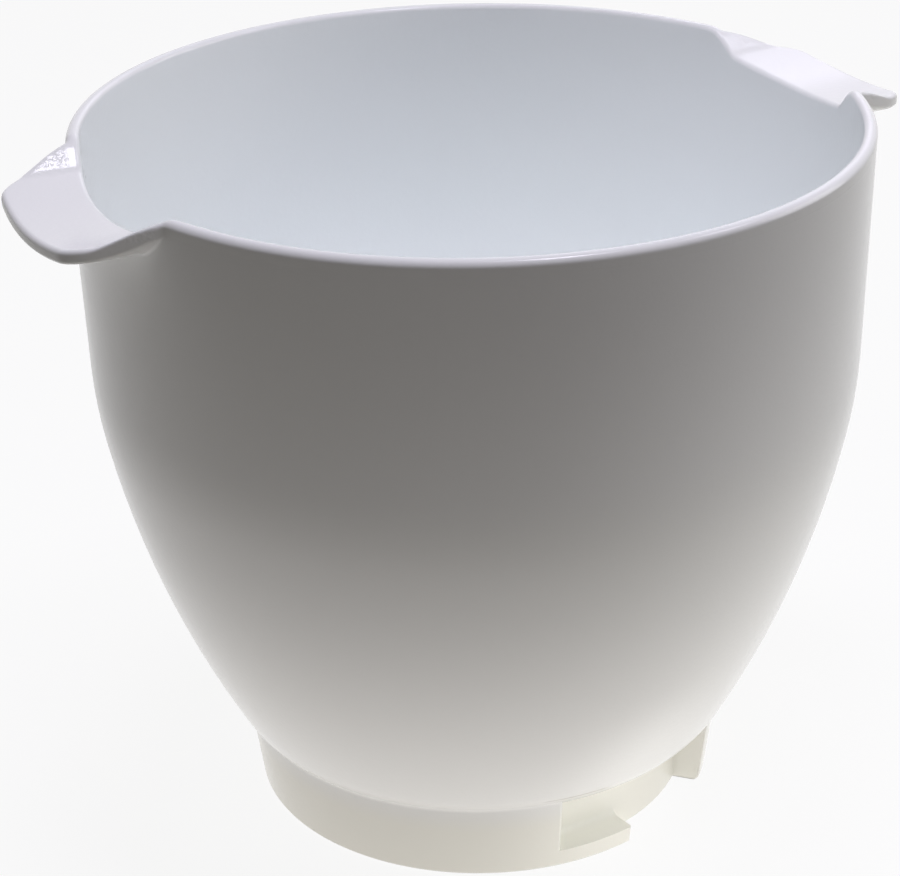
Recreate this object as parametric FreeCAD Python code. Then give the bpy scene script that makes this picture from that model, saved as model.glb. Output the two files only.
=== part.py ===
import FreeCAD, Part
import math
import os

# The bowl of a stand mixer, moulded in one piece of white plastic.
# Millimetres and degrees. The bowl stands on its foot ring, upright along Z.
# The origin is on the table at the middle of the foot, and the two ears lie along X.

# Bowl wall
bowl_height = 192.5          # table to the top of the rim
rim_radius = 103.9           # outside, at the rim
wall = 3.5                   # all round the bowl
wall_draft = 1.32            # lean of the upper wall
shoulder_height = 131.5      # where the upper wall starts to turn in
shoulder_radius = 126.0
belly_lean = 10.75           # lean at which the shoulder runs into the belly
belly_radius = 290.0
floor_clearance = 17.2       # underside of the bowl's floor above the table
floor_corner_radius = 20.0   # outside of the turn from the belly into the floor
rim_round = 1.0              # outer edge of the rim, and on along the ears
lip_round = 1.8              # inner edge of the rim, and on along the ears' floors

# Ears, two opposite lips at the rim
ear_count = 2
ear_overhang = 17.1          # rim to the middle of the outer edge
ear_corner_overhang = 14.8
ear_corner_half_width = 25.5
ear_root_half_width = 33.5   # where the side edge leaves the wall
ear_depth = 9.2              # rim to the lowest line of the dished floor
ear_dish_radius = 135.0      # hollow of the floor, seen along the ear
ear_crease_half_width = 26.0 # floor to flank, at the wall
ear_crease_flare = 4.0       # the two creases open outwards
ear_flank_slope = 43.0
ear_thickness = 3.6
ear_corner_round = 10.0      # seen from above
ear_crease_round = 2.0
ear_peak_round = 5.0         # where a flank runs over into the rim
ear_edge_round = 1.0         # lower edges, and the turns into the wall

# Foot ring with two bayonet slots
foot_inset = 39.9            # rim's radius less the skirt's, at the table
foot_flare = 7.2             # the skirt widens upwards
foot_wall = 3.3
foot_chamfer = 0.8           # lower edges
foot_root_round = 2.5        # hollow turn from the skirt into the bowl
slot_count = 2
slot_depth = 7.1             # skirt to the recessed wall, at the table
slot_start = -99.35          # closed end of the first slot
tab_sweep = 19.9             # ledge, from the closed end
slot_sweep = 52.3            # the ledge and the entry gap together
tab_height = 5.6
slot_edge_round = 0.6

# Room for the cutters and for finding edges, not sizes of the bowl
past_edge = 20.0
past_face = 1.0
past_rim = 0.02
touching = 0.03
steep = 0.3                  # rise of a normal that no longer counts as sideways
edge_points = 7

ear_reach = rim_radius + ear_overhang
ear_corner_reach = rim_radius + ear_corner_overhang
foot_radius = rim_radius - foot_inset
slot_wall_radius = foot_radius - slot_depth

upright = FreeCAD.Vector(0, 0, 1)
origin = FreeCAD.Vector(0, 0, 0)


def tan(degrees):
    return math.tan(math.radians(degrees))


def lean_vector(lean):
    """Outward normal, as radius and height, of a wall that leans by this angle."""
    return math.cos(math.radians(lean)), -math.sin(math.radians(lean))


def on_arc(centre, radius, lean):
    """Point of a circle whose outward normal has this lean."""
    n = lean_vector(lean)
    return centre[0] + radius * n[0], centre[1] + radius * n[1]


def arc_points(centre, radius, lean_from, lean_to):
    """Start, middle and end of an arc between two leans."""
    return [on_arc(centre, radius, lean) for lean in (lean_from, (lean_from + lean_to) / 2, lean_to)]


def meet_circle(start, direction, centre, radius):
    """Where a line first comes this near to the centre."""
    x = start[0] - centre[0]
    z = start[1] - centre[1]
    along = x * direction[0] + z * direction[1]
    step = -along - math.sqrt(along ** 2 - x ** 2 - z ** 2 + radius ** 2)
    return start[0] + step * direction[0], start[1] + step * direction[1]


def wall_outline(offset):
    """Points of the wall's outline, as radius and height, moved inwards by offset."""
    n_upper = lean_vector(wall_draft)
    n_belly = lean_vector(belly_lean)
    upper_r = rim_radius - (bowl_height - shoulder_height) * tan(wall_draft)
    shoulder_c = (upper_r - shoulder_radius * n_upper[0], shoulder_height - shoulder_radius * n_upper[1])
    nested = belly_radius - shoulder_radius
    belly_c = (shoulder_c[0] - nested * n_belly[0], shoulder_c[1] - nested * n_belly[1])
    reach = belly_radius - floor_corner_radius
    corner_z = floor_clearance + floor_corner_radius
    corner_c = (belly_c[0] + math.sqrt(reach ** 2 - (corner_z - belly_c[1]) ** 2), corner_z)
    corner_lean = math.degrees(math.asin((belly_c[1] - corner_z) / reach))

    top_r = rim_radius - offset / n_upper[0]
    return {
        "above": (top_r + past_edge * tan(wall_draft), bowl_height + past_edge),
        "top": (top_r, bowl_height),
        "shoulder": on_arc(shoulder_c, shoulder_radius - offset, wall_draft),
        "mid_shoulder": on_arc(shoulder_c, shoulder_radius - offset, (wall_draft + belly_lean) / 2),
        "belly": on_arc(belly_c, belly_radius - offset, belly_lean),
        "mid_belly": on_arc(belly_c, belly_radius - offset, (belly_lean + corner_lean) / 2),
        "corner": on_arc(belly_c, belly_radius - offset, corner_lean),
        "mid_corner": on_arc(corner_c, floor_corner_radius - offset, (corner_lean + 90) / 2),
        "floor": on_arc(corner_c, floor_corner_radius - offset, 90),
        "corner_centre": corner_c,
        "middle": (0.0, floor_clearance + offset),
    }


def at(point):
    """A point given as radius and height, in the XZ plane."""
    return FreeCAD.Vector(point[0], 0, point[1])


def line(a, b, place=at):
    return Part.LineSegment(place(a), place(b)).toShape()


def arc(a, b, c, place=at):
    return Part.Arc(place(a), place(b), place(c)).toShape()


def outline_edges(o, first):
    """Edges from the named first point down to the middle of the floor."""
    return [
        line(o[first], o["shoulder"]),
        arc(o["shoulder"], o["mid_shoulder"], o["belly"]),
        arc(o["belly"], o["mid_belly"], o["corner"]),
        arc(o["corner"], o["mid_corner"], o["floor"]),
        line(o["floor"], o["middle"]),
    ]


def turned(edges, start=0.0, sweep=360.0):
    """Solid turned about Z from a closed outline in the XZ plane."""
    face = Part.Face(Part.Wire(Part.__sortEdges__(edges)))
    solid = face.revolve(origin, upright, sweep)
    solid.rotate(origin, upright, start)
    return solid


def turned_polygon(points, start=0.0, sweep=360.0):
    closed = points + points[:1]
    return turned([line(a, b) for a, b in zip(closed, closed[1:])], start, sweep)


def repeated(shape, count):
    """Copies of a shape spaced evenly about Z."""
    copies = []
    for i in range(count):
        copy = shape.copy()
        copy.rotate(origin, upright, 360.0 / count * i)
        copies.append(copy)
    return copies


def bowl_wall():
    outer = wall_outline(0.0)
    inner = wall_outline(wall)
    edges = outline_edges(outer, "top") + outline_edges(inner, "top")
    edges.append(line(outer["top"], inner["top"]))
    edges.append(line(outer["middle"], inner["middle"]))
    return turned(edges)


def solid_inside(offset):
    """Everything inside the wall's outline, up past the rim."""
    o = wall_outline(offset)
    edges = outline_edges(o, "above")
    edges.append(line(o["middle"], (0.0, o["above"][1])))
    edges.append(line((0.0, o["above"][1]), o["above"]))
    return turned(edges)


def trough_section(x, drop):
    """Outline across an ear at this X: dish, creases, flanks and the turn into the rim.

    With a drop it is the same outline moved down square to itself, as the underside.
    """
    dish_c = (0.0, bowl_height - ear_depth + ear_dish_radius)
    crease_z = dish_c[1] - math.sqrt(ear_dish_radius ** 2 - ear_crease_half_width ** 2)
    crease_x = math.sqrt((rim_radius - wall) ** 2 - ear_crease_half_width ** 2)
    half_width = ear_crease_half_width + (x - crease_x) * tan(ear_crease_flare)
    square = 90.0 - ear_flank_slope
    out, down = lean_vector(square)
    along_flank = (-down, out)

    def beside_flank(distance, height):
        """Point at this height that lies this far above the flank's line."""
        rise = height - crease_z + distance * down
        return half_width - distance * out + rise * along_flank[0] / along_flank[1], height

    start = beside_flank(ear_crease_round, crease_z)
    crease_c = meet_circle(start, along_flank, dish_c, ear_dish_radius - ear_crease_round)
    peak_c = beside_flank(-ear_peak_round, bowl_height + past_rim - ear_peak_round)
    dish_lean = 90.0 - math.degrees(math.atan2(crease_c[0], dish_c[1] - crease_c[1]))
    half = arc_points(crease_c, ear_crease_round + drop, dish_lean, square)
    half += arc_points(peak_c, drop - ear_peak_round, square, 90.0)
    half.append((half[-1][0], bowl_height + past_edge))
    mirrored = [(-y, z) for y, z in half]

    def across(point):
        return FreeCAD.Vector(x, point[0], point[1])

    edges = [
        arc(half[0], (0.0, dish_c[1] - ear_dish_radius - drop), mirrored[0], across),
        line(half[-1], mirrored[-1], across),
    ]
    for side in (half, mirrored):
        edges.append(arc(side[0], side[1], side[2], across))
        edges.append(line(side[2], side[3], across))
        edges.append(arc(side[3], side[4], side[5], across))
        edges.append(line(side[5], side[6], across))
    return Part.Wire(Part.__sortEdges__(edges))


def trough(drop):
    """Room over an ear on +X, down to its floor, or to its underside with its thickness as drop."""
    sections = [trough_section(x, drop) for x in (rim_radius - past_edge, ear_reach + past_edge)]
    return Part.makeLoft(sections, True, True)


def ear_prism():
    """An ear's outline seen from above, standing up to the rim."""
    root_x = math.sqrt(rim_radius ** 2 - ear_root_half_width ** 2)
    slant = (ear_root_half_width - ear_corner_half_width) / (ear_corner_reach - root_x)
    root = (root_x - wall, ear_root_half_width + slant * wall)
    corner = (ear_corner_reach, ear_corner_half_width)
    other_root = (root[0], -root[1])
    other_corner = (corner[0], -corner[1])
    height = 2 * past_edge

    def above(point):
        return FreeCAD.Vector(point[0], point[1], bowl_height - height)

    edges = [
        line(root, corner, above),
        arc(corner, (ear_reach, 0.0), other_corner, above),
        line(other_corner, other_root, above),
        line(other_root, root, above),
    ]
    prism = Part.Face(Part.Wire(edges)).extrude(upright * height)
    corners = [e for e in prism.Edges if e.BoundBox.XMin > ear_corner_reach - touching]
    return prism.makeFillet(ear_corner_round, [e for e in corners if e.BoundBox.ZLength > past_edge])


def ear():
    """One ear on +X, square at its edges, reaching a little way into the wall."""
    plate = ear_prism().common(trough(ear_thickness)).cut(trough(0.0))
    return plate.cut(solid_inside(wall / 2))


def lies_at(edge, radius_at):
    """True where the whole edge has the radius that radius_at gives for its height."""
    points = edge.discretize(edge_points)
    return all(abs(math.hypot(p.x, p.y) - radius_at(p.z)) < touching for p in points)


def on_upper_wall(edge, offset):
    """True for an edge on the bowl's upper wall, or on that surface moved inwards by offset."""
    top = wall_outline(offset)["top"][0]
    above = edge.BoundBox.ZMin > shoulder_height + touching
    return above and lies_at(edge, lambda z: top - (bowl_height - z) * tan(wall_draft))


def facing(face):
    """Whether a face looks up, down, out to the side or in towards the middle."""
    u0, u1, v0, v1 = face.ParameterRange
    u = (u0 + u1) / 2
    v = (v0 + v1) / 2
    normal = face.normalAt(u, v)
    place = face.valueAt(u, v)
    if abs(normal.z) > steep:
        return "up" if normal.z > 0 else "down"
    return "out" if normal.x * place.x + normal.y * place.y > 0 else "in"


def edges_between(shape, one, other):
    """Edges at the ears and the rim where a face of one kind meets a face of the other."""
    wanted = sorted((one, other))
    faces = [(face.Edges, facing(face)) for face in shape.Faces]
    found = []
    for edge in shape.Edges:
        kinds = sorted(kind for edges, kind in faces if any(edge.isSame(e) for e in edges))
        if kinds == wanted and edge.BoundBox.ZMin > bowl_height - past_edge:
            found.append(edge)
    return found


def rounded_rim(body):
    """Rounds under and beside the ears, then along the outer and the inner edge of rim and ears."""
    lower = edges_between(body, "down", "out")
    lower += [e for e in edges_between(body, "out", "out") if on_upper_wall(e, 0.0)]
    body = body.makeFillet(ear_edge_round, lower)
    body = body.makeFillet(rim_round, edges_between(body, "up", "out"))
    return body.makeFillet(lip_round, [e for e in body.Edges if on_upper_wall(e, wall)])


def root_arc():
    """Hollow arc from the skirt up to the bowl's turned-in corner, tangent to both."""
    corner_c = wall_outline(0.0)["corner_centre"]
    out, down = lean_vector(foot_flare)
    start = (foot_radius + foot_root_round * out, foot_root_round * down)
    centre = meet_circle(start, (-down, out), corner_c, foot_root_round + floor_corner_radius)
    corner_lean = math.degrees(math.atan2(corner_c[1] - centre[1], centre[0] - corner_c[0]))
    return arc_points(centre, -foot_root_round, foot_flare, corner_lean)


def foot():
    """The foot ring with its slots, up to the middle of the bowl's wall."""
    height = floor_clearance + floor_corner_radius
    slot_back = slot_wall_radius - foot_wall
    low, middle, top = root_arc()
    edges = [
        line((slot_back, 0.0), (foot_radius, 0.0)),
        line((foot_radius, 0.0), low),
        arc(low, middle, top),
        line(top, (top[0], height)),
        line((top[0], height), (slot_back, height)),
        line((slot_back, height), (slot_back, 0.0)),
    ]
    ring = turned(edges)
    end_sweep = math.degrees(foot_wall / foot_radius)
    lean = tan(foot_flare)
    low_r = foot_radius - foot_wall - past_face * lean
    high_r = foot_radius - foot_wall + height * lean
    hollow = [(0.0, -past_face), (low_r, -past_face), (high_r, height), (0.0, height)]
    hollow_sweep = 360.0 / slot_count - slot_sweep - 2 * end_sweep
    wide = foot_radius + height
    above = height + past_face

    def window(bottom):
        return [(slot_wall_radius, bottom), (wide, bottom), (wide, above), (slot_wall_radius, above)]

    cutters = [
        turned_polygon(hollow, slot_start + slot_sweep + end_sweep, hollow_sweep),
        turned_polygon(window(tab_height), slot_start, slot_sweep),
        turned_polygon(window(-past_face), slot_start + tab_sweep, slot_sweep - tab_sweep),
    ]
    for cutter in cutters:
        ring = ring.cut(repeated(cutter, slot_count))
    ring = ring.cut(solid_inside(wall / 2))
    ring = ring.makeChamfer(foot_chamfer, [e for e in ring.Edges if e.BoundBox.ZMax < touching])
    skirt_edges = [e for e in ring.Edges if lies_at(e, lambda z: foot_radius + z * lean)]
    upright_edges = [e for e in skirt_edges if e.BoundBox.ZLength > foot_root_round]
    upright_edges = [e for e in upright_edges if not any(e.isSeam(face) for face in ring.Faces)]
    return ring.makeFillet(slot_edge_round, upright_edges)


def build():
    body = bowl_wall().cut(repeated(trough(0.0), ear_count))
    body = rounded_rim(body.fuse(repeated(ear(), ear_count)).removeSplitter())
    return body.fuse(foot()).removeSplitter()


os.makedirs("parts", exist_ok=True)
build().exportStep("parts/mixer_bowl.step")
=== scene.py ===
import math

import bpy
import numpy as np
from mathutils import Matrix, Vector


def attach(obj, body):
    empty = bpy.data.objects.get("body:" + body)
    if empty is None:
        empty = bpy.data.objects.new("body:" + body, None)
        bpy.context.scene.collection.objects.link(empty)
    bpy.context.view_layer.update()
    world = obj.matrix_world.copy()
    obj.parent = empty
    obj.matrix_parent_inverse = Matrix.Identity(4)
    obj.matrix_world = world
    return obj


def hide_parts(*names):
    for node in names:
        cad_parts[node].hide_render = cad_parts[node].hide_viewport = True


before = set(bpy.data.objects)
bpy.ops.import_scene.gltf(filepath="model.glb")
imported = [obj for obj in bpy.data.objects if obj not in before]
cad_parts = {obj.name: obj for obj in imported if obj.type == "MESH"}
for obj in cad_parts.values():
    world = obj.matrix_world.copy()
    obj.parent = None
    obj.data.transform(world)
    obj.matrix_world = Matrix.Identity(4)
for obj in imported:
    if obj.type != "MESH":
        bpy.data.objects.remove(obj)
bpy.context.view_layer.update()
print("stage: frame loaded")

# The camera stands where the photograph was taken, seen from the bowl's axis.
# The photograph is cut out of a larger picture, so the lens axis isn't in its middle.
view = {
    "azimuth": -117.145,
    "radius": 0.5935,
    "height": 0.3888,
    "yaw": 1.63825,
    "pitch": 24.4816,
    "roll": -0.38949,
    "focalPixels": 2404.52,
    "axisPixel": (540.32, 371.50),
    "imageSize": (900, 876),
    "sensor": 36.0,
    "clip": (0.01, 20.0),
}


def link(obj):
    bpy.context.scene.collection.objects.link(obj)
    return obj


def cameraMatrix(v):
    # it looks at the bowl's axis, turned by yaw and tilted by pitch
    heading = math.radians(v["azimuth"] + 180.0 - v["yaw"])
    pitch = math.radians(v["pitch"])
    level = math.cos(pitch)
    forward = Vector((math.cos(heading) * level, math.sin(heading) * level, -math.sin(pitch)))
    right = forward.cross(Vector((0, 0, 1))).normalized()
    up = right.cross(forward)
    roll = math.radians(v["roll"])
    rolledRight = math.cos(roll) * right + math.sin(roll) * up
    rolledUp = math.cos(roll) * up - math.sin(roll) * right
    stand = math.radians(v["azimuth"])
    place = Vector((v["radius"] * math.cos(stand), v["radius"] * math.sin(stand), v["height"]))
    turn = Matrix((rolledRight, rolledUp, -forward)).transposed()
    return Matrix.Translation(place) @ turn.to_4x4()


def makeCamera(v):
    data = bpy.data.cameras.new("camera")
    camera = link(bpy.data.objects.new("camera", data))
    data.sensor_width = v["sensor"]
    width, height = v["imageSize"]
    data.lens = v["focalPixels"] / width * v["sensor"]
    data.shift_x = (width / 2 - v["axisPixel"][0]) / width
    data.shift_y = (v["axisPixel"][1] - height / 2) / width
    data.clip_start, data.clip_end = v["clip"]
    camera.matrix_world = cameraMatrix(v)
    bpy.context.scene.camera = camera


makeCamera(view)
print("stage: camera")

# Floor and background. Both are all but white to the camera and in the gloss. The light that they
# throw on the bowl is dim, so that the lamps alone shade it.
studio = {
    "floorSize": 6.0,
    "floorColour": (0.90, 0.90, 0.90, 1.0),
    "floorRoughness": 0.9,
    "floorGloss": 0.1,
    "floorGlow": 0.9,
    "dimFloor": (0.20, 0.19, 0.17, 1.0),
    "backdrop": (1.0, 1.0, 1.0, 1.0),
    "ambient": (0.031, 0.026, 0.018, 1.0),
}

# The lamps. The overhead one is cool, and the bounce disk just above the floor throws warm light up
# at the lower wall, as in the photograph. The glint lamp is the one seen in the left ear's flank.
# The quiet ones light the bowl and aren't seen in its gloss.
cool = (0.893, 0.865, 1.0)
warm = (1.0, 0.985, 0.96)
lamps = {
    "overhead": {"size": (0.45, 0.45), "power": 11.2, "colour": cool,
                 "place": (0.0, 0.0, 1.6), "target": (0.0, 0.0, 0.0), "quiet": True},
    "bounce": {"size": (0.44, 0.44), "power": 0.455, "colour": (1.0, 0.955, 0.915),
               "shape": "DISK", "place": (0.0, 0.0, 0.0002), "target": (0.0, 0.0, 1.0),
               "quiet": True},
    "inside": {"size": (0.10, 0.10), "power": 0.061, "colour": (0.77, 0.88, 1.0),
               "shape": "DISK", "place": (-0.01, 0.0, 0.035), "target": (0.045, -0.01, 0.20),
               "quiet": True},
    "over": {"size": (0.10, 0.10), "power": 0.007, "colour": cool, "spread": 25.0,
             "place": (-0.25, -0.03, 0.45), "target": (0.100, 0.004, 0.165), "quiet": True},
    "right": {"size": (0.7, 0.7), "power": 3.1, "colour": warm,
              "place": (1.15, -0.35, 0.45), "target": (0.0, 0.0, 0.10)},
    "highRight": {"size": (0.3, 0.3), "power": 1.8, "colour": cool,
                  "place": (0.95, -0.375, 1.37), "target": (0.1, 0.0, 0.18)},
    "left": {"size": (0.5, 0.5), "power": 0.22, "colour": warm,
             "place": (-1.2, -0.10, 0.12), "target": (0.0, 0.0, 0.10), "quiet": True},
    "low": {"size": (0.14, 0.14), "power": 0.0125, "colour": warm, "spread": 60.0,
            "place": (0.095, -0.285, 0.085), "target": (0.01, -0.02, 0.02), "quiet": True},
    "slot": {"size": (0.03, 0.03), "power": 0.0015, "colour": warm, "spread": 40.0,
             "place": (0.02, -0.135, 0.065), "target": (0.001, -0.062, 0.008), "quiet": True},
    "underEar": {"size": (0.03, 0.03), "power": 0.0028, "colour": warm, "spread": 30.0,
                 "place": (0.155, -0.03, 0.05), "target": (0.112, -0.012, 0.18), "quiet": True},
    "glint": {"size": (0.28, 0.28), "power": 4.4, "colour": cool,
              "place": (0.18, -0.38, 1.57), "target": (0.0, 0.0, 0.18)},
    "back": {"size": (0.65, 0.60), "power": 1.15, "colour": cool,
             "place": (0.93, 1.01, 0.90), "target": (0.0, 0.0, 0.18)},
}


def addNode(tree, kind, inputs, **settings):
    made = tree.nodes.new(kind)
    for name, value in settings.items():
        setattr(made, name, value)
    for name, value in inputs.items():
        if isinstance(value, bpy.types.NodeSocket):
            tree.links.new(value, made.inputs[name])
        else:
            made.inputs[name].default_value = value
    return made


def calculate(tree, operation, a, b=0.0):
    return addNode(tree, "ShaderNodeMath", {0: a, 1: b}, operation=operation).outputs[0]


def mixColour(tree, share, a, b):
    made = addNode(tree, "ShaderNodeMix", {"Factor": share, "A": a, "B": b}, data_type="RGBA")
    return made.outputs["Result"]


# Gives 1 for the rays that see the studio itself, from the camera or off the gloss, and 0 for the
# rest
def seenRays(tree):
    path = addNode(tree, "ShaderNodeLightPath", {})
    seen = path.outputs["Is Camera Ray"]
    for name in ("Is Glossy Ray", "Is Transmission Ray"):
        seen = calculate(tree, "MAXIMUM", seen, path.outputs[name])
    return seen


def makeFloor(s):
    half = s["floorSize"] / 2
    corners = [(-half, -half, 0), (half, -half, 0), (half, half, 0), (-half, half, 0)]
    mesh = bpy.data.meshes.new("floor")
    mesh.from_pydata(corners, [], [(0, 1, 2, 3)])
    material = bpy.data.materials.new("floor")
    material.use_nodes = True
    tree = material.node_tree
    shader = tree.nodes["Principled BSDF"]
    shader.inputs["Roughness"].default_value = s["floorRoughness"]
    shader.inputs["Specular IOR Level"].default_value = s["floorGloss"]
    seen = seenRays(tree)
    colour = mixColour(tree, seen, s["dimFloor"], s["floorColour"])
    tree.links.new(colour, shader.inputs["Base Color"])
    # the floor keeps its shadow in the share that doesn't glow
    share = calculate(tree, "MULTIPLY", seen, s["floorGlow"])
    glow = addNode(tree, "ShaderNodeEmission", {})
    mix = addNode(tree, "ShaderNodeMixShader", {0: share, 1: shader.outputs[0], 2: glow.outputs[0]})
    tree.links.new(mix.outputs[0], tree.nodes["Material Output"].inputs["Surface"])
    mesh.materials.append(material)
    link(bpy.data.objects.new("floor", mesh))


def makeWorld(s):
    world = bpy.data.worlds.new("world")
    bpy.context.scene.world = world
    world.use_nodes = True
    tree = world.node_tree
    tree.nodes.clear()
    ambient = addNode(tree, "ShaderNodeBackground", {"Color": s["ambient"]})
    white = addNode(tree, "ShaderNodeBackground", {"Color": s["backdrop"]})
    mix = addNode(tree, "ShaderNodeMixShader",
                  {0: seenRays(tree), 1: ambient.outputs[0], 2: white.outputs[0]})
    addNode(tree, "ShaderNodeOutputWorld", {"Surface": mix.outputs[0]})


def makeLamp(name, lamp):
    data = bpy.data.lights.new(name, "AREA")
    data.shape = lamp.get("shape", "RECTANGLE")
    data.size, data.size_y = lamp["size"]
    data.energy = lamp["power"]
    data.color = lamp["colour"]
    data.spread = math.radians(lamp.get("spread", 180.0))
    light = link(bpy.data.objects.new(name, data))
    light.location = lamp["place"]
    light.rotation_mode = "QUATERNION"
    towards = Vector(lamp["target"]) - Vector(lamp["place"])
    light.rotation_quaternion = towards.to_track_quat("-Z", "Y")
    light.visible_camera = False
    light.visible_glossy = not lamp.get("quiet", False)


makeFloor(studio)
makeWorld(studio)
for name, lamp in lamps.items():
    makeLamp(name, lamp)
bpy.context.scene.view_settings.view_transform = "Standard"
print("stage: studio")

# White moulded plastic, creamier in the foot
plastic = {
    "colour": (0.87, 0.88, 0.87, 1.0),
    "otherColour": (0.855, 0.868, 0.86, 1.0),
    "clouding": 18.0,
    "cloudingDetail": 3.0,
    "footColour": (0.88, 0.882, 0.825, 1.0),
    "footHeight": (0.014, 0.022),
    "roughness": 0.18,
    "grain": 650.0,
    "grainDetail": 2.0,
    "grainHeight": 0.00003,
    "ripple": 800.0,
    "rippleDetail": 1.0,
    "rippleHeight": 0.00018,
    "flankHeight": (0.1865, 0.1878, 0.1908, 0.1920),
    "flankReach": (0.0985, 0.1000),
    "speckPlace": (-0.09175, 0.03999, 0.17869),
    "speckRadius": (0.0003, 0.0006),
    "speckColour": (0.45, 0.44, 0.43, 1.0),
    "darkLineHeight": 0.0252,
    "darkLineHalfWidth": (0.0001, 0.0004),
    "darkLinePlace": (-0.0085, -0.0686, 0.0252),
    "darkLineReach": (0.0075, 0.0100),
    "darkLineRadius": (0.0670, 0.0680),
    "darkLineColour": (0.70, 0.70, 0.69, 1.0),
}


# Rises from 0 at the first value to 1 at the second, or the other way round with a falling pair
def ramp(tree, value, span):
    rising = span[1] > span[0]
    made = addNode(tree, "ShaderNodeMapRange", {
        "Value": value, "From Min": min(span), "From Max": max(span),
        "To Min": 0.0 if rising else 1.0, "To Max": 1.0 if rising else 0.0,
    }, interpolation_type="SMOOTHSTEP")
    return made.outputs["Result"]


def distanceTo(tree, place, point):
    made = addNode(tree, "ShaderNodeVectorMath", {0: place, 1: point}, operation="DISTANCE")
    return made.outputs["Value"]


def noise(tree, place, scale, detail):
    inputs = {"Vector": place, "Scale": scale, "Detail": detail}
    return addNode(tree, "ShaderNodeTexNoise", inputs).outputs[0]


def makePlastic(p):
    material = bpy.data.materials.new("plastic")
    material.use_nodes = True
    tree = material.node_tree
    shader = tree.nodes["Principled BSDF"]
    shader.inputs["Roughness"].default_value = p["roughness"]
    place = addNode(tree, "ShaderNodeTexCoord", {}).outputs["Object"]
    split = addNode(tree, "ShaderNodeSeparateXYZ", {0: place})
    height = split.outputs["Z"]

    # faint clouding of the plastic, the cream foot, a dark speck below an ear and a short thin
    # darker line just above the foot, on the outside only
    cloud = noise(tree, place, p["clouding"], p["cloudingDetail"])
    colour = mixColour(tree, cloud, p["colour"], p["otherColour"])
    colour = mixColour(tree, ramp(tree, height, p["footHeight"]), p["footColour"], colour)
    speck = ramp(tree, distanceTo(tree, place, p["speckPlace"]), p["speckRadius"][::-1])
    colour = mixColour(tree, speck, colour, p["speckColour"])
    # the wall is darker in a thin line round it just above the foot, near one slot, outside only
    off = calculate(tree, "ABSOLUTE", calculate(tree, "SUBTRACT", height, p["darkLineHeight"]))
    line = ramp(tree, off, p["darkLineHalfWidth"][::-1])
    near = ramp(tree, distanceTo(tree, place, p["darkLinePlace"]), p["darkLineReach"][::-1])
    axis = (0.0, 0.0, p["darkLineHeight"])
    outside = ramp(tree, distanceTo(tree, place, axis), p["darkLineRadius"])
    mark = calculate(tree, "MULTIPLY", calculate(tree, "MULTIPLY", line, near), outside)
    colour = mixColour(tree, mark, colour, p["darkLineColour"])
    tree.links.new(colour, shader.inputs["Base Color"])

    # fine grain everywhere, and the rippled skin on the flanks of the ears
    grain = noise(tree, place, p["grain"], p["grainDetail"])
    fine = addNode(tree, "ShaderNodeBump", {"Height": grain, "Distance": p["grainHeight"]})
    low, lowFull, highFull, high = p["flankHeight"]
    flank = calculate(tree, "MULTIPLY", ramp(tree, height, (low, lowFull)),
                      ramp(tree, height, (high, highFull)))
    out = ramp(tree, calculate(tree, "ABSOLUTE", split.outputs["X"]), p["flankReach"])
    flank = calculate(tree, "MULTIPLY", flank, out)
    ripple = noise(tree, place, p["ripple"], p["rippleDetail"])
    rise = calculate(tree, "MULTIPLY", calculate(tree, "SUBTRACT", ripple, 0.5), flank)
    rough = addNode(tree, "ShaderNodeBump", {
        "Height": rise, "Distance": p["rippleHeight"], "Normal": fine.outputs[0]})
    tree.links.new(rough.outputs[0], shader.inputs["Normal"])
    return material


# The bowl's measures, in millimetres and degrees, and the numbers of points and rows in its profile
bowlSizes = {
    "height": 192.5,
    "rimRadius": 103.9,
    "wall": 3.5,
    "draft": 1.32,
    "shoulderHeight": 131.5,
    "shoulderRadius": 126.0,
    "bellyLean": 10.75,
    "bellyRadius": 290.0,
    "floorClearance": 17.2,
    "cornerRadius": 20.0,
    "rimRound": 2.0,
    "lipRound": 1.4,
    "columnStep": 1.5,
    "earColumnStep": 0.3,
    "earColumnsHalfAngle": 24.0,
    "sharpAngle": 40.0,
    "millimetre": 0.001,
    "floorRows": 7,
    "cornerPoints": 14,
    "bellyPoints": 14,
    "shoulderPoints": 9,
    "wallRows": 11,
    "rimRows": 7,
    "topRows": 21,
}

# The two ears, along X
earSizes = {
    "reach": 121.0,
    "cornerReach": 118.7,
    "cornerHalfWidth": 25.5,
    "rootHalfWidth": 33.5,
    "depth": 9.2,
    "dishRadius": 135.0,
    "creaseHalfWidth": 26.0,
    "creaseFlare": 4.0,
    "flankSlope": 43.0,
    "thickness": 3.6,
    "edgeRound": 1.35,
    "underRound": 1.0,
    "edgeRoundOver": 6.0,
    "cornerSoftness": 7.5,
    "creaseSoftness": 0.9,
    "peakSoftness": 2.6,
    "underCreaseSoftness": 2.2,
    "underPeakSoftness": 0.8,
    "rootSoftness": 0.8,
    "settle": 0.2,
    "edgeRows": 4,
    "underRoundRows": 6,
    "underRows": 12,
}

# The foot ring with its two slots. Its top ends inside the bowl's wall.
footSizes = {
    "radius": 64.0,
    "flare": 7.2,
    "wall": 3.3,
    "chamfer": 0.8,
    "rootRound": 2.5,
    "slotDepth": 7.1,
    "slotStart": -99.35,
    "tabSweep": 19.9,
    "slotSweep": 52.3,
    "tabHeight": 5.6,
    "tabHollow": 2.2,
    "edgeRound": 0.7,
    "topInWall": 18.9,
    "belowTop": 0.3,
    "columnStep": 1.5,
    "columnSpan": (0.7, 179.5),
    "edgeTurns": (20, 40, 60, 90),
    "hair": 0.01,
    "rootPoints": 8,
    "hollowRows": 6,
    "skirtRows": 4,
    "insideRows": 7,
}


def tanDegrees(angle):
    return math.tan(math.radians(angle))


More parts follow.
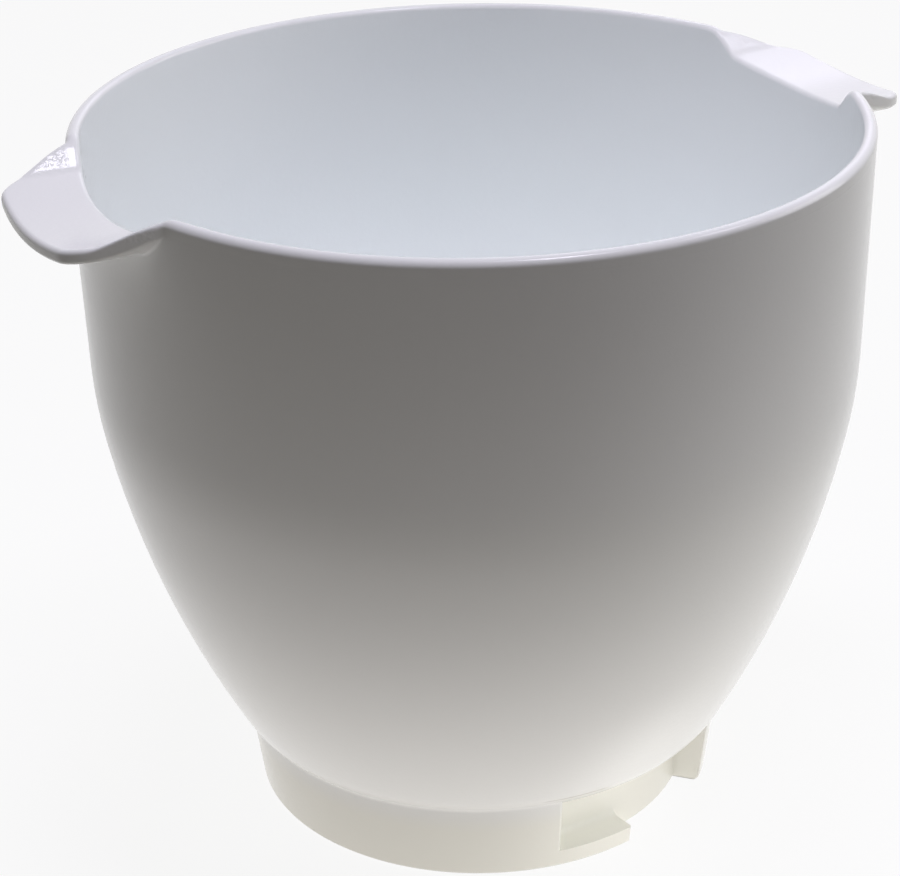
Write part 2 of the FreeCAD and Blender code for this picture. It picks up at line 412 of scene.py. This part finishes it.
# The smaller of two values, with the corner between them rounded over this much difference
def softMin(a, b, softness):
    near = np.clip(softness - np.abs(a - b), 0.0, None) / softness
    return np.minimum(a, b) - near ** 2 * softness / 4


def softMax(a, b, softness):
    return -softMin(-a, -b, softness)


# A quarter turn in equal steps, without its start
def quarterTurn(count):
    return np.radians(np.linspace(0, 90, count + 1))[1:]


# Rows that lead from one row to another in equal steps, without the first one
def rowsBetween(a, b, count):
    t = np.linspace(0.0, 1.0, count + 1)[1:, None]
    return a[None, :] * (1 - t) + b[None, :] * t


# A circle's points by the lean of its outward normal: centre + radius * (cos lean, -sin lean)
def arcPoints(centre, radius, leanFrom, leanTo, count):
    lean = np.radians(np.linspace(leanFrom, leanTo, count))
    return centre[0] + radius * np.cos(lean), centre[1] - radius * np.sin(lean)


# Centres of the wall's arcs: the upper wall is tangent to the shoulder, the shoulder to the belly
# and the belly to the floor's corner
def wallCentres(s):
    draft, lean = math.radians(s["draft"]), math.radians(s["bellyLean"])
    upper = s["rimRadius"] - (s["height"] - s["shoulderHeight"]) * math.tan(draft)
    shoulder = (upper - s["shoulderRadius"] * math.cos(draft),
                s["shoulderHeight"] + s["shoulderRadius"] * math.sin(draft))
    nested = s["bellyRadius"] - s["shoulderRadius"]
    belly = (shoulder[0] - nested * math.cos(lean), shoulder[1] + nested * math.sin(lean))
    reach = s["bellyRadius"] - s["cornerRadius"]
    cornerHeight = s["floorClearance"] + s["cornerRadius"]
    cornerLean = math.asin((belly[1] - cornerHeight) / reach)
    corner = (belly[0] + reach * math.cos(cornerLean), cornerHeight)
    return shoulder, belly, corner, math.degrees(cornerLean)


# Radius and height from near the middle of the floor up to the shoulder, on the wall moved inwards
# by offset
def lowerWall(s, offset):
    shoulder, belly, corner, cornerLean = wallCentres(s)
    floorR = np.linspace(0.0, corner[0], s["floorRows"] + 2)[1:-1]
    floorZ = np.full_like(floorR, s["floorClearance"] + offset)
    cornerArc = arcPoints(corner, s["cornerRadius"] - offset, 90.0, cornerLean, s["cornerPoints"])
    bellyArc = arcPoints(belly, s["bellyRadius"] - offset, cornerLean, s["bellyLean"],
                         s["bellyPoints"])
    shoulderArc = arcPoints(shoulder, s["shoulderRadius"] - offset, s["bellyLean"], s["draft"],
                            s["shoulderPoints"])
    radii = [floorR, cornerArc[0], bellyArc[0][1:], shoulderArc[0][1:]]
    heights = [floorZ, cornerArc[1], bellyArc[1][1:], shoulderArc[1][1:]]
    return np.concatenate(radii), np.concatenate(heights)


# Radius of the upper wall: rim radius, less the offset square to the wall, less the lean below
# the rim
def upperWall(s, z, offset):
    inwards = offset / math.cos(math.radians(s["draft"]))
    return s["rimRadius"] - inwards - (s["height"] - z) * tanDegrees(s["draft"])


# Height over an ear: a dish across X, a straight flank beyond each crease, then the rim's own
# level, each turn rounded. With a drop it is the same surface moved down square to itself.
def troughHeight(s, e, x, y, drop, creaseSoftness, peakSoftness):
    dishMiddle = s["height"] - e["depth"] + e["dishRadius"]
    creaseHeight = dishMiddle - math.sqrt(e["dishRadius"] ** 2 - e["creaseHalfWidth"] ** 2)
    creaseX = math.sqrt((s["rimRadius"] - s["wall"]) ** 2 - e["creaseHalfWidth"] ** 2)
    half = e["creaseHalfWidth"] + (np.abs(x) - creaseX) * tanDegrees(e["creaseFlare"])
    dish = dishMiddle - np.sqrt((e["dishRadius"] + drop) ** 2 - y ** 2)
    slope = math.radians(e["flankSlope"])
    flank = creaseHeight + (np.abs(y) - half) * math.tan(slope) - drop / math.cos(slope)
    return softMin(softMax(dish, flank, creaseSoftness), s["height"] - drop, peakSoftness)


# Distance from the axis to the outline seen from above, with the wall's own radius beyond the
# ears, and to the ear alone: a flat arc over its end, a straight side and a rounded corner between
def outlineRadius(s, e, angle):
    turn = np.abs((angle + math.pi / 2) % math.pi - math.pi / 2)
    corner = np.array([e["cornerReach"], e["cornerHalfWidth"]])
    root = np.array([math.sqrt(s["rimRadius"] ** 2 - e["rootHalfWidth"] ** 2), e["rootHalfWidth"]])
    middle = (corner @ corner - e["reach"] ** 2) / (2 * (corner[0] - e["reach"]))
    end = middle * np.cos(turn) + np.sqrt((e["reach"] - middle) ** 2 - (middle * np.sin(turn)) ** 2)
    along = (root - corner) / np.linalg.norm(root - corner)
    square = np.array([along[1], -along[0]])
    side = (square @ corner) / (square[0] * np.cos(turn) + square[1] * np.sin(turn))
    ear = softMin(end, side, e["cornerSoftness"])
    return softMax(ear, np.full_like(ear, s["rimRadius"]), e["rootSoftness"]), ear


# The bowl and its ears: at each angle one profile from the middle of the floor up inside, over the
# rim or the ear, back under it and down outside. All rows are arrays over the angles.
def bowlSurface(s, e):
    coarse = np.arange(0.0, 360.0, s["columnStep"])
    span = s["earColumnsHalfAngle"]
    coarse = coarse[np.abs((coarse + 90) % 180 - 90) > span]
    fine = np.arange(-span, span + s["earColumnStep"] / 2, s["earColumnStep"])
    angle = np.radians(np.sort(np.concatenate([coarse, fine % 360, fine + 180])))
    edge, ear = outlineRadius(s, e, angle)
    turnRate = np.gradient(edge, angle)
    lip, below = s["lipRound"], e["underRound"]
    overhang = edge - s["rimRadius"]
    # the rim's outer round runs into the ears' sharper one
    sharper = np.clip(overhang / e["edgeRoundOver"], 0.0, 1.0)
    over = s["rimRound"] + (e["edgeRound"] - s["rimRound"]) * sharper
    # the rounds' width along the radius, so that they are true square to the outline
    square = np.sqrt(1 + (turnRate / edge) ** 2)
    roundWide = over * square
    underWide = np.minimum(below * square, overhang / 2)
    rootWide = np.minimum(below, overhang / 2)

    def top(r):
        return troughHeight(s, e, r * np.cos(angle), r * np.sin(angle), 0.0,
                            e["creaseSoftness"], e["peakSoftness"])

    def under(r):
        return troughHeight(s, e, r * np.cos(angle), r * np.sin(angle), e["thickness"],
                            e["underCreaseSoftness"], e["underPeakSoftness"])

    # no row leaves the outline at its height, so beyond the ears the underside's rows lie on the
    # wall
    def skin(a, b):
        return np.minimum(a, softMax(ear, upperWall(s, b, 0.0), e["rootSoftness"])), b

    def level(value):
        return np.full_like(angle, value)

    # up inside
    rows = [(level(a), level(b)) for a, b in zip(*lowerWall(s, s["wall"]))]
    lipStart = upperWall(s, s["height"] - e["depth"] / 2, s["wall"])
    innerTop = top(level(lipStart)) - lip
    for b in rowsBetween(level(s["shoulderHeight"]), innerTop, s["wallRows"]):
        rows.append((upperWall(s, b, s["wall"]), b))
    # over the rim and the ears
    innerR = rows[-1][0]
    for t in quarterTurn(s["rimRows"]):
        a = innerR + lip * (1 - math.cos(t))
        rows.append((a, top(a) - lip * (1 - math.sin(t))))
    for a in rowsBetween(innerR + lip, edge - roundWide, s["topRows"]):
        rows.append((a, top(a)))
    for t in quarterTurn(s["rimRows"]):
        a = edge - roundWide * (1 - math.sin(t))
        rows.append(skin(a, top(a) - over * (1 - math.cos(t))))
    for b in rowsBetween(rows[-1][1], under(edge) + below, e["edgeRows"]):
        rows.append(skin(edge, b))
    # back under the ears to the wall
    for t in quarterTurn(e["underRoundRows"]):
        a = edge - underWide * (1 - math.cos(t))
        rows.append(skin(a, under(a) + below * (1 - math.sin(t))))
    wallR = upperWall(s, under(level(s["rimRadius"])) - below, 0.0)
    rootR = np.minimum(wallR + rootWide, edge - underWide)
    shares = np.linspace(0, 1, e["underRows"] + 1)[1:]
    for t, a in zip(shares, rowsBetween(edge - underWide, rootR, e["underRows"])):
        rows.append(skin(a, under(a) - e["settle"] * t))
    for t in quarterTurn(e["underRoundRows"]):
        a = rootR - (rootR - wallR) * math.sin(t)
        rows.append(skin(a, under(a) - e["settle"] - below * (1 - math.cos(t))))
    # down outside
    for b in rowsBetween(rows[-1][1], level(s["shoulderHeight"]), s["wallRows"]):
        rows.append((upperWall(s, b, 0.0), b))
    rows += [(level(a), level(b)) for a, b in list(zip(*lowerWall(s, 0.0)))[-2::-1]]
    poles = (s["floorClearance"] + s["wall"], s["floorClearance"])
    return angle, np.array([a for a, b in rows]), np.array([b for a, b in rows]), poles


# The foot ring: at each angle one closed loop, down outside, over the foot's edge and up inside.
# Outside it is the leaning skirt with a hollow turn into the bowl, or the recess wall of a slot,
# with the ledge below. The slot's ends are pairs of angles a hair apart.
def footSurface(s, f):
    lean = tanDegrees(f["flare"])
    corner = wallCentres(s)[2]
    # centre of the hollow turn, which is tangent to the skirt and to the floor's corner
    flareAngle = math.radians(f["flare"])
    outward = (math.cos(flareAngle), -math.sin(flareAngle))
    start = (f["radius"] + f["rootRound"] * outward[0] - corner[0],
             f["rootRound"] * outward[1] - corner[1])
    along = (-outward[1], outward[0])
    dot = start[0] * along[0] + start[1] * along[1]
    away = f["rootRound"] + s["cornerRadius"]
    step = -dot - math.sqrt(dot ** 2 - start[0] ** 2 - start[1] ** 2 + away ** 2)
    centre = (corner[0] + start[0] + step * along[0], corner[1] + start[1] + step * along[1])
    topLean = math.degrees(math.atan2(corner[1] - centre[1], centre[0] - corner[0]))
    rootR, rootZ = arcPoints(centre, -f["rootRound"], topLean, f["flare"], f["rootPoints"])
    recess = f["radius"] - f["slotDepth"]
    back = recess - f["wall"]
    endSweep = math.degrees(f["wall"] / f["radius"])

    # the columns' angles over half a turn, from the start of a slot
    hair = f["hair"]
    turns = np.radians(f["edgeTurns"])
    rounding = np.degrees(f["edgeRound"] * (1 - np.cos(turns)) / f["radius"])
    ends = [0.0, f["tabSweep"], f["slotSweep"], f["slotSweep"] + endSweep, 180.0 - endSweep]
    a = [np.arange(*f["columnSpan"], f["columnStep"])]
    a += [np.array([end - hair, end + hair]) for end in ends]
    a += [180.0 - rounding, f["tabSweep"] - rounding, f["slotSweep"] + rounding]
    a = np.unique(np.round(np.concatenate(a) % 180.0, 4))
    slot = a < f["slotSweep"]
    gap = slot & (a > f["tabSweep"])
    backed = (a < f["slotSweep"] + endSweep) | (a > 180.0 - endSweep)

    # how far the round at a slot's end draws the skirt in, by the distance from that end
    def drawnIn(distance):
        short = np.clip(1 - distance / f["edgeRound"], 0.0, 1.0)
        return f["edgeRound"] * (1 - np.sqrt(1 - short ** 2))

    perDegree = np.radians(1.0) * f["radius"]
    slotEnd = np.abs(a - f["slotSweep"])
    tabEnd = np.where(slot, np.abs(a - f["tabSweep"]), 180.0)
    upperEnd = np.minimum(slotEnd, 180.0 - a) * perDegree
    lowerEnd = np.minimum(slotEnd, tabEnd) * perDegree
    rows = []

    def rowAbove(skirtR, skirtZ, slotZ):
        hollow = f["tabHollow"]
        short = np.clip(1 - (slotZ - f["tabHeight"]) / hollow, 0.0, 1.0)
        slotR = np.where(gap, recess, recess + hollow * (1 - np.sqrt(1 - short ** 2)))
        r = np.where(slot, slotR, skirtR - drawnIn(upperEnd))
        rows.append((r, np.where(slot, slotZ, skirtZ)))

    def rowBelow(skirtR, z):
        rows.append((np.where(gap, recess, skirtR - drawnIn(lowerEnd)), np.full_like(a, z)))

    # above the ledge
    high = f["topInWall"]
    sink = np.array([corner[0] - rootR[0], corner[1] - rootZ[0]])
    sink = sink / np.linalg.norm(sink) * s["wall"] / 2
    rows.append((np.where(slot, recess, rootR[0] + sink[0]),
                 np.where(slot, high, rootZ[0] + sink[1])))
    slotHeights = np.linspace(high - f["belowTop"], f["tabHeight"] + f["tabHollow"],
                              f["rootPoints"])
    for r, z, b in zip(rootR, rootZ, slotHeights):
        rowAbove(r, z, b)
    ledge = f["tabHeight"] + hair
    low = rootZ[-1]
    for k, t in enumerate(quarterTurn(f["hollowRows"])):
        z = low + (ledge - low) * (k + 1) / f["hollowRows"]
        rowAbove(f["radius"] + z * lean, z, ledge + (f["tabHollow"] - hair) * (1 - math.sin(t)))
    # the ledge and below
    for z in np.linspace(f["tabHeight"] - hair, f["chamfer"], f["skirtRows"]):
        rowBelow(f["radius"] + z * lean, z)
    rowBelow(f["radius"] - f["chamfer"], 0.0)
    rows[-1] = (np.where(gap, recess - f["chamfer"], rows[-1][0]), rows[-1][1])
    # up inside
    inner = np.where(backed, back, f["radius"] - f["wall"])
    flare = np.where(backed, 0.0, lean)
    rows.append((inner + f["chamfer"], np.zeros_like(a)))
    for z in np.linspace(f["chamfer"], high, f["insideRows"]):
        rows.append((inner + flare * z, np.full_like(a, z)))
    # the other half of the turn is the same again
    angle = np.radians(f["slotStart"] + np.concatenate([a, a + 180.0]))
    radii = np.array([np.tile(r, 2) for r, z in rows])
    heights = np.array([np.tile(z, 2) for r, z in rows])
    return angle, radii, heights


# Grid of rows over angles: quads facing outwards, closed round the angles, and either a loop of
# rows or a pole at each end
def gridParts(angle, r, z, poles):
    rowCount, count = r.shape
    points = np.stack([r * np.cos(angle), r * np.sin(angle), z], axis=-1).reshape(-1, 3)
    lines = rowCount if poles is None else rowCount - 1
    row, column = np.meshgrid(np.arange(lines), np.arange(count), indexing="ij")
    below, beside = (row + 1) % rowCount, (column + 1) % count
    quads = np.stack([row * count + column, below * count + column,
                      below * count + beside, row * count + beside], axis=-1).reshape(-1, 4)
    faces = [tuple(q) for q in quads.tolist()]
    if poles is not None:
        points = np.concatenate([points, [[0, 0, poles[0]], [0, 0, poles[1]]]])
        first, last = len(points) - 2, len(points) - 1
        base = (rowCount - 1) * count
        around = np.arange(count)
        faces += [(first, int(i), int((i + 1) % count)) for i in around]
        faces += [(last, int(base + (i + 1) % count), int(base + i)) for i in around]
    return points, faces


def makeBowl(s, e, f):
    points, faces = gridParts(*bowlSurface(s, e))
    footPoints, footFaces = gridParts(*footSurface(s, f), None)
    shift = len(points)
    faces += [tuple(i + shift for i in face) for face in footFaces]
    points = np.concatenate([points, footPoints]) * s["millimetre"]
    mesh = bpy.data.meshes.new("bowlSkin")
    mesh.from_pydata(points.tolist(), [], faces)
    mesh.validate()
    mesh.shade_smooth()
    mesh.set_sharp_from_angle(angle=math.radians(s["sharpAngle"]))
    return link(bpy.data.objects.new("bowlSkin", mesh))


# one node, so the skin takes the solid's place
bowl = makeBowl(bowlSizes, earSizes, footSizes)
bowl.data.materials.append(makePlastic(plastic))
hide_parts("mixer_bowl")
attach(bowl, "root")
triangles = sum(len(face.vertices) - 2 for face in bowl.data.polygons)
print("stage: bowl", triangles, "triangles")
